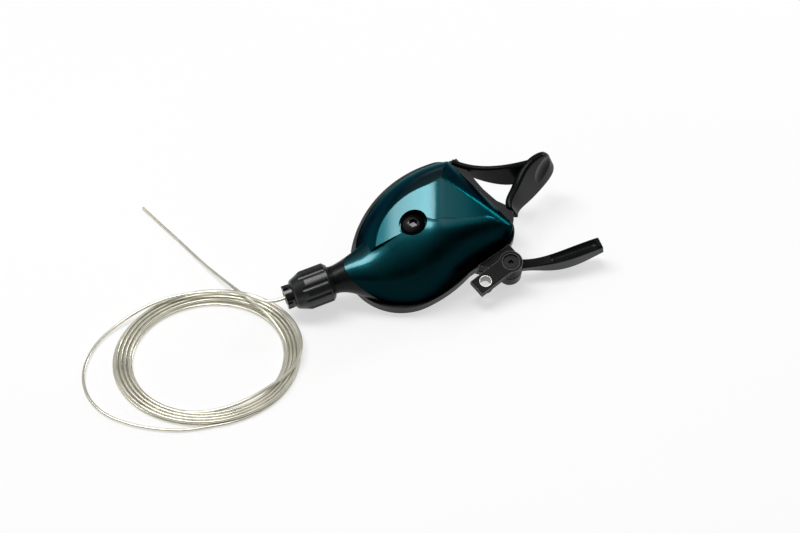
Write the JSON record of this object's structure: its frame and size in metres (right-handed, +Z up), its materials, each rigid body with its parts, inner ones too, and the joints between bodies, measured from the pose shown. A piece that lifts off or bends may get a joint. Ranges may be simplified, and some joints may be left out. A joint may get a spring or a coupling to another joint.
{
  "type": "bicycle trigger gear shifter",
  "caption": "Handlebar gear shifter with a smooth domed cover, thumb levers that pull and release, a fluted cable adjuster and a coiled steel inner cable.",
  "frame": {"origin": "on the table under the middle of the shifter, its cable left out of the measure", "axes": "+X from the cable adjuster to the levers, +Z up from the table as the shifter lies with its cover up"},
  "size_m": [0.2008, 0.1216, 0.0407],
  "materials": {
    "cover_teal": "gloss dark teal metallic",
    "housing_black": "fine satin black",
    "screw_black": "black oxide",
    "steel": "bright turned",
    "spring_steel": "drawn wire",
    "spool_grey": "plain cast",
    "bush_bronze": "plain turned",
    "lever_black": "satin black",
    "bracket_grey": "satin charcoal",
    "knob_black": "satin",
    "barrel_black": "gloss black",
    "cable_steel": "slick drawn strand"
  },
  "bodies": {
    "housing": {"top_cover": "cover_teal", "lower_housing": "housing_black", "cover_screw": "screw_black", "main_axle": "steel", "axle_washer": "steel", "axle_nut": "steel", "top_plate": "steel", "plate_screws": "steel", "spool_spring": "spring_steel", "hold_pawl_pin": "steel", "hold_pawl_spring": "spring_steel", "pull_lever_spring": "spring_steel", "release_lever_spring": "spring_steel", "release_lever_pin": "screw_black", "mount_bracket": "bracket_grey", "bracket_screws": "steel", "knob_clip": "spring_steel", "cable_guide": "housing_black", "cable_run": "cable_steel", "cable_lead": "cable_steel", "cable_coil": "cable_steel", "cable_tail": "cable_steel"},
    "pull_lever": {"pull_lever": "lever_black", "pull_lever_bush": "bush_bronze", "pawl_carrier": "steel", "pull_pawl_pin": "steel", "pull_pawl_spring": "spring_steel"},
    "pull_pawl": {"pull_pawl": "steel"},
    "spool": {"spool": "spool_grey", "cable_head": "steel"},
    "release_lever": {"release_lever": "lever_black"},
    "hold_pawl": {"hold_pawl": "steel"},
    "adjuster_knob": {"adjuster_knob": "knob_black"},
    "adjuster_barrel": {"adjuster_barrel": "barrel_black"}
  },
  "joints": [
    {"name": "pull_lever_swing", "type": "hinge", "parent": "housing", "child": "pull_lever", "pos_m": [-0.00756, 0.00087, 0.01024], "axis": [-0.145, -0.3746, 0.9158], "range_deg": [0, 45], "stiffness_Nm_per_rad": 0.12, "springref_deg": -14.32},
    {"name": "pull_pawl_turn", "type": "hinge", "parent": "pull_lever", "child": "pull_pawl", "pos_m": [0.00668, 0.00358, 0.02125], "axis": [-0.145, -0.3746, 0.9158], "range_deg": [0, 5.5], "stiffness_Nm_per_rad": 0.002, "springref_deg": -5.73},
    {"name": "spool_turn", "type": "hinge", "parent": "housing", "child": "spool", "pos_m": [-0.00872, -0.00213, 0.01757], "axis": [-0.145, -0.3746, 0.9158], "range_deg": [0, 165]},
    {"name": "release_lever_swing", "type": "hinge", "parent": "housing", "child": "release_lever", "pos_m": [0.02394, -0.01925, 0.007], "axis": [-0.145, -0.3746, 0.9158], "range_deg": [0, 12], "stiffness_Nm_per_rad": 0.06, "springref_deg": -14.32},
    {"name": "hold_pawl_turn", "type": "hinge", "parent": "housing", "child": "hold_pawl", "pos_m": [-0.01049, -0.01709, 0.01007], "axis": [-0.145, -0.3746, 0.9158], "range_deg": [-9.1, 0], "deforming": ["hold_pawl_spring"]},
    {"name": "adjuster_knob_turn", "type": "hinge", "parent": "housing", "child": "adjuster_knob", "pos_m": [-0.05045, -0.00668, 0.01128], "axis": [0.9877, 0, 0.1564], "range_deg": [0, 1440]},
    {"name": "adjuster_barrel_slide", "type": "slide", "parent": "housing", "child": "adjuster_barrel", "axis": [-0.9877, 0, -0.1564], "range_m": [0, 0.004]}
  ],
  "couplings": [
    {"joint": "hold_pawl_turn", "follows": "release_lever_swing", "ratio": -0.75},
    {"joint": "adjuster_knob_turn", "follows": "adjuster_barrel_slide", "rad_per_m": 6283}
  ]
}
